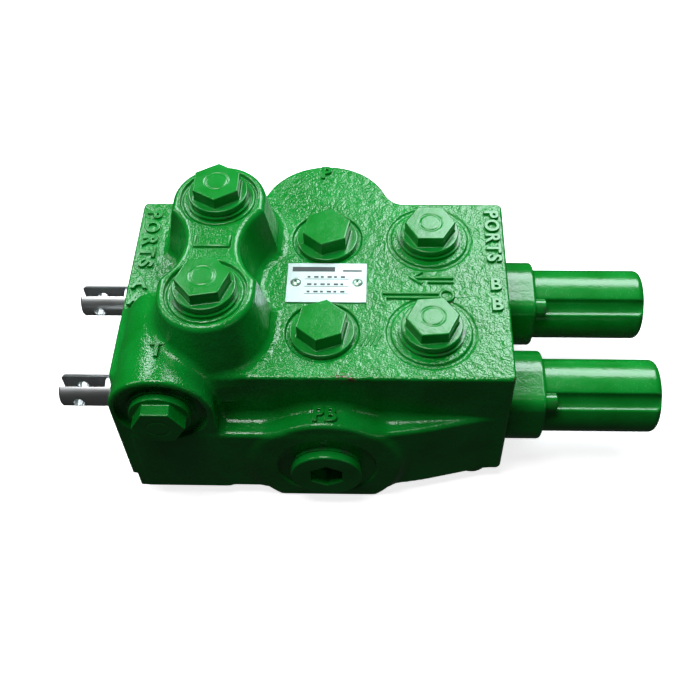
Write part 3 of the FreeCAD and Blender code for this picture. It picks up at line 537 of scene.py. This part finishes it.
def make_print():
    """The nameplate's print: ruled lines and plain bars, without any words."""
    low, high = box_mm("nameplate")
    bm = bmesh.new()
    y = high.y - 6.0
    for start, end, tall in ((0.06, 0.6, 3.4), (0.7, 0.94, 1.2)):
        bar(bm, (low.x + start * PRINT_LENGTH, y), (low.x + end * PRINT_LENGTH, y + tall), high.z)
    for k in range(3):
        y = high.y - 11.5 - 5.2 * k
        bar(bm, (low.x + 9.5, y), (high.x - 9.5, y + 0.35), high.z)
        for j in range(6):
            start = low.x + 11 + 3.6 * j
            bar(bm, (start, y + 1.0), (start + 1.6 + 0.8 * ((j + k) % 2), y + 2.3), high.z)
    mesh = bpy.data.meshes.new("nameplate_print")
    bm.to_mesh(mesh)
    bm.free()
    finish(add("nameplate_print", mesh), BODY, PRINT_INK)


# ---- materials -------------------------------------------------------------------------------------
def finish(piece, body, material):
    """A piece rides on its body and takes its material."""
    piece.data.materials.clear()
    piece.data.materials.append(material)
    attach(piece, body)


def surface(name, tints, rough, relief, metallic=0.0, grain=400.0, stretch=(1, 1, 1), worn=None,
            chips=(), rough_level=None):
    """A procedural surface. tints are two colours that drift into each other, rough the range of
    roughness, relief the coarse and fine bump in millimetres, worn the colour of exposed edges, chips the
    places of small bare patches, and rough_level the height of the face with the whole coarse bump."""
    material = bpy.data.materials.new(name)
    material.use_nodes = True
    tree = material.node_tree
    shader = tree.nodes["Principled BSDF"]
    link = tree.links.new

    def node(kind, **values):
        made = tree.nodes.new(kind)
        for key, value in values.items():
            setattr(made, key, value)
        return made

    def noise(scale, detail, source):
        made = node("ShaderNodeTexNoise")
        made.inputs["Scale"].default_value = scale
        made.inputs["Detail"].default_value = detail
        link(source, made.inputs["Vector"])
        return made.outputs["Fac"]

    def remap(value, low, high, to_low=0.0, to_high=1.0):
        made = node("ShaderNodeMapRange")
        numbers = {"From Min": low, "From Max": high, "To Min": to_low, "To Max": to_high}
        for key, number in numbers.items():
            made.inputs[key].default_value = number
        link(value, made.inputs["Value"])
        return made.outputs["Result"]

    def maths(kind, a, b):
        made = node("ShaderNodeMath", operation=kind)
        for socket, value in zip(made.inputs, (a, b)):
            if isinstance(value, (int, float)):
                socket.default_value = value
            else:
                link(value, socket)
        return made.outputs[0]

    def mix(factor, a, b):
        made = node("ShaderNodeMix", data_type="RGBA")
        link(factor, made.inputs["Factor"])
        for socket, value in ((made.inputs[6], a), (made.inputs[7], b)):
            if isinstance(value, tuple):
                socket.default_value = (*value, 1)
            else:
                link(value, socket)
        return made.outputs[2]

    coords = node("ShaderNodeTexCoord").outputs["Object"]
    mapping = node("ShaderNodeMapping")
    mapping.inputs["Scale"].default_value = stretch
    link(coords, mapping.inputs["Vector"])
    flow = mapping.outputs["Vector"]
    drift = noise(45.0, 3.0, coords)
    colour = mix(remap(drift, 0.35, 0.65), tints[0], tints[1])
    coarse = noise(grain, 3.0, flow)
    fine = noise(grain * 4, 2.0, flow)
    if worn is not None:
        edge = remap(node("ShaderNodeNewGeometry").outputs["Pointiness"], 0.53, 0.60)
        bare = maths("MULTIPLY", edge, remap(noise(160.0, 4.0, coords), 0.52, 0.62))
        for place, r in chips:
            gap = node("ShaderNodeVectorMath", operation="DISTANCE")
            link(coords, gap.inputs[0])
            gap.inputs[1].default_value = Vector(place) * MM
            spot = remap(gap.outputs["Value"], r * 0.4 * MM, r * MM, 1.0, 0.0)
            patch = maths("MULTIPLY", spot, remap(noise(500.0, 3.0, coords), 0.48, 0.54))
            bare = maths("MAXIMUM", bare, patch)
        colour = mix(bare, colour, worn)
    link(colour, shader.inputs["Base Color"])
    link(remap(maths("ADD", drift, fine), 0.7, 1.3, *rough), shader.inputs["Roughness"])
    shader.inputs["Metallic"].default_value = metallic
    below = node("ShaderNodeBump")
    below.inputs["Distance"].default_value = relief[0] * MM
    link(coarse, below.inputs["Height"])
    if rough_level is not None:
        split = node("ShaderNodeSeparateXYZ")
        link(coords, split.inputs[0])
        gap = maths("ABSOLUTE", maths("SUBTRACT", split.outputs["Z"], rough_level * MM), 0.0)
        link(remap(gap, 1.0 * MM, 3.0 * MM, 1.0, 0.3), below.inputs["Strength"])
    above = node("ShaderNodeBump")
    above.inputs["Distance"].default_value = relief[1] * MM
    link(fine, above.inputs["Height"])
    link(below.outputs["Normal"], above.inputs["Normal"])
    link(above.outputs["Normal"], shader.inputs["Normal"])
    return material


GREENS = ((0.0012, 0.19, 0.014), (0.003, 0.25, 0.027))
PRIMER = (0.10, 0.035, 0.02)
OLD_PAINT = (0.02, 0.12, 0.03)
CHIPS = (
    ((TANK.x + 11, FACE_Y + 8, TOP + 4), 4.0),
    ((LEFT + 1, FACE_Y + 5, TOP - 8), 4.0),
    ((14.5, FRONT, TOP), 5.0),
    ((20.0, FRONT, TOP), 4.0),
    ((RIGHT, FRONT, TOP), 3.0),
)
CASTING_PAINT = surface(
    "casting_enamel", GREENS, (0.10, 0.22), (0.85, 0.14),
    grain=240.0, worn=PRIMER, chips=CHIPS, rough_level=TOP,
)
MARK_PAINT = surface("mark_enamel", GREENS, (0.12, 0.24), (0.12, 0.03), grain=300.0)
PLUG_PAINT = surface("plug_enamel", GREENS, (0.14, 0.26), (0.12, 0.03), grain=260.0, worn=OLD_PAINT)
CAP_PAINT = surface("cap_enamel", GREENS, (0.16, 0.28), (0.16, 0.03), grain=200.0, worn=OLD_PAINT)
STEEL = surface(
    "turned_steel", ((0.80, 0.82, 0.83), (0.66, 0.68, 0.69)), (0.30, 0.46), (0.02, 0.01),
    metallic=1.0, grain=700.0, stretch=(3, 1, 1),
)
DARK_STEEL = surface(
    "oiled_steel", ((0.20, 0.20, 0.21), (0.30, 0.30, 0.31)), (0.3, 0.5), (0.03, 0.01), metallic=1.0
)
RUBBER = surface("black_rubber", ((0.012, 0.012, 0.012), (0.02, 0.02, 0.02)), (0.5, 0.7), (0.03, 0.02))
ALUMINIUM = surface(
    "brushed_aluminium", ((0.50, 0.60, 0.58), (0.42, 0.51, 0.49)), (0.30, 0.45), (0.03, 0.02),
    metallic=0.6, grain=600.0, stretch=(1, 12, 1),
)
PRINT_INK = surface("print_ink", ((0.02, 0.03, 0.03), (0.06, 0.07, 0.07)), (0.4, 0.6), (0.01, 0.005))
RIVET = surface(
    "rivet_alloy", ((0.25, 0.42, 0.30), (0.45, 0.55, 0.48)), (0.25, 0.4), (0.03, 0.01), metallic=0.7
)
BY_SLOT = {
    "casting_paint": CASTING_PAINT,
    "plug_paint": PLUG_PAINT,
    "cap_paint": CAP_PAINT,
    "washer_metal": PLUG_PAINT,
    "seal_rubber": RUBBER,
    "bare_steel": STEEL,
    "spring_steel": DARK_STEEL,
    "spool_steel": STEEL,
    "nameplate_metal": ALUMINIUM,
    "rivet_metal": RIVET,
}


SHOWING = (
    "port_washer",
    "tank_port_washer",
    "power_beyond_washer",
    "spool_front",
    "spool_rear",
    "wiper_retainer",
    "cap_screws",
    "nameplate",
)


def dress_cad():
    """Materials for every carried-over CAD node, and a small round on the edges that show."""
    slots = {part["node"]: part["material_slot"] for part in frame["record"]["subparts"]}
    for name, piece in frame["nodes"].items():
        piece.data.materials.clear()
        piece.data.materials.append(BY_SLOT[slots[name]])
        if not name.startswith(SHOWING):
            continue
        soften = piece.modifiers.new("soften", "BEVEL")
        soften.width = 0.25 * MM
        soften.segments = 2
        soften.limit_method = "ANGLE"
        soften.angle_limit = math.radians(40)


def make_springs():
    """Springs copied from the CAD meshes in place of the CAD nodes; the two bodies each stands between
    and its end points are found but not used.
    """
    for row in ROWS:
        moving = {
            f"centring_spring_inner_{row}": (BODY, f"spool_{row}"),
            f"centring_spring_outer_{row}": (f"spool_{row}", BODY),
            f"load_check_spring_{row}": (f"load_check_{row}", BODY),
        }
        for name, (start_body, end_body) in moving.items():
            low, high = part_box(name)
            centre = (low + high) / 2
            axis = 2 if name.startswith("load_check") else 0
            start, end = centre.copy(), centre.copy()
            start[axis], end[axis] = low[axis], high[axis]
            made = add(name + "_coil", frame["nodes"][name].data.copy())
            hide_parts(name)
            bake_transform(made)


# ---- camera, light and floor -----------------------------------------------------------------------
CAMERA_PLACE = (0.03665, -0.35323, 0.50557)
CAMERA_AZIMUTH, CAMERA_ELEVATION, CAMERA_ROLL = 3.21, 53.05, -2.07  # degrees
CAMERA_LENS = 51.47
FLOOR_R, FLOOR_BEND = 2.5, 1.0
WALL_TOP, ROOF = 3.0, 4.5
SKY = (0.86, 0.96, 1.0)


def make_camera():
    """The camera in front of the valve, a little to the right and well above it."""
    azimuth, elevation = math.radians(CAMERA_AZIMUTH), math.radians(CAMERA_ELEVATION)
    roll = math.radians(CAMERA_ROLL)
    level = math.cos(elevation)
    back = Vector((math.sin(azimuth) * level, -math.cos(azimuth) * level, math.sin(elevation)))
    across = Vector((0, 0, 1)).cross(back).normalized()
    up = back.cross(across)
    right = math.cos(roll) * across + math.sin(roll) * up
    upright = -math.sin(roll) * across + math.cos(roll) * up
    camera = bpy.data.objects.new("camera", bpy.data.cameras.new("camera"))
    bpy.context.scene.collection.objects.link(camera)
    camera.data.sensor_width = 36.0
    camera.data.lens = CAMERA_LENS
    camera.data.clip_start = 0.01
    turn = Matrix((right, upright, back)).transposed().to_4x4()
    camera.matrix_world = Matrix.Translation(Vector(CAMERA_PLACE)) @ turn
    bpy.context.scene.camera = camera


def area_light(name, place, target, size, power, tint=(1, 1, 1)):
    """A rectangular soft box aimed at a point."""
    data = bpy.data.lights.new(name, "AREA")
    data.shape = "RECTANGLE"
    data.size, data.size_y = size
    data.energy = power
    data.color = tint
    lamp = bpy.data.objects.new(name, data)
    lamp.location = place
    lamp.rotation_euler = (Vector(target) - Vector(place)).to_track_quat("-Z", "Y").to_euler()
    bpy.context.scene.collection.objects.link(lamp)


def make_studio():
    """A white floor that curves up into a wall all round, under soft boxes."""
    mesh = bpy.data.meshes.new("floor")
    bm = bmesh.new()
    profile = [(0.0, 0.0), (FLOOR_R, 0.0)]
    for degrees in range(15, 91, 15):
        a = math.radians(degrees)
        profile.append((FLOOR_R + FLOOR_BEND * math.sin(a), FLOOR_BEND * (1 - math.cos(a))))
    profile += [(FLOOR_R + FLOOR_BEND, WALL_TOP), (0.0, ROOF)]
    ends = [bm.verts.new((r, 0, height)) for r, height in profile]
    edges = [bm.edges.new(pair) for pair in zip(ends, ends[1:])]
    bmesh.ops.spin(bm, geom=ends + edges, axis=(0, 0, 1), cent=(0, 0, 0), angle=2 * math.pi, steps=48)
    bmesh.ops.remove_doubles(bm, verts=bm.verts, dist=1e-5)
    bm.to_mesh(mesh)
    bm.free()
    mesh.shade_smooth()
    floor = bpy.data.objects.new("floor", mesh)
    bpy.context.scene.collection.objects.link(floor)
    floor.location.z = -0.0005
    material = bpy.data.materials.new("floor_white")
    material.use_nodes = True
    shader = material.node_tree.nodes["Principled BSDF"]
    shader.inputs["Base Color"].default_value = (0.9, 0.9, 0.9, 1)
    shader.inputs["Roughness"].default_value = 0.9
    shader.inputs["Emission Color"].default_value = (1, 1, 1, 1)
    shader.inputs["Emission Strength"].default_value = 0.8
    mesh.materials.append(material)
    floor.visible_glossy = False
    floor.visible_diffuse = False
    area_light("back_box_right", (0.42, 0.82, 1.0), (0.03, 0, 0.08), (0.7, 0.6), 16, SKY)
    area_light("back_box_left", (-0.62, 0.85, 1.0), (-0.03, 0, 0.08), (0.35, 0.5), 7, SKY)
    area_light("key_box", (-0.2, -0.04, 1.4), (0, 0, 0), (0.6, 0.6), 12.0)
    area_light("fill_box", (0.9, -0.8, 0.5), (0, 0, 0.05), (0.3, 0.5), 0.5)
    area_light("left_box", (-1.0, 0.1, 0.9), (-0.1, 0, 0.04), (0.4, 0.5), 3.0)
    world = bpy.data.worlds.new("studio")
    bpy.context.scene.world = world
    world.use_nodes = True
    background = world.node_tree.nodes["Background"]
    background.inputs["Color"].default_value = (1, 1, 1, 1)
    background.inputs["Strength"].default_value = 0.03
    bpy.context.scene.view_settings.view_transform = "Standard"


dress_cad()
make_springs()
make_casting()
make_plugs()
make_caps()
make_marks()
make_print()
make_studio()
make_camera()
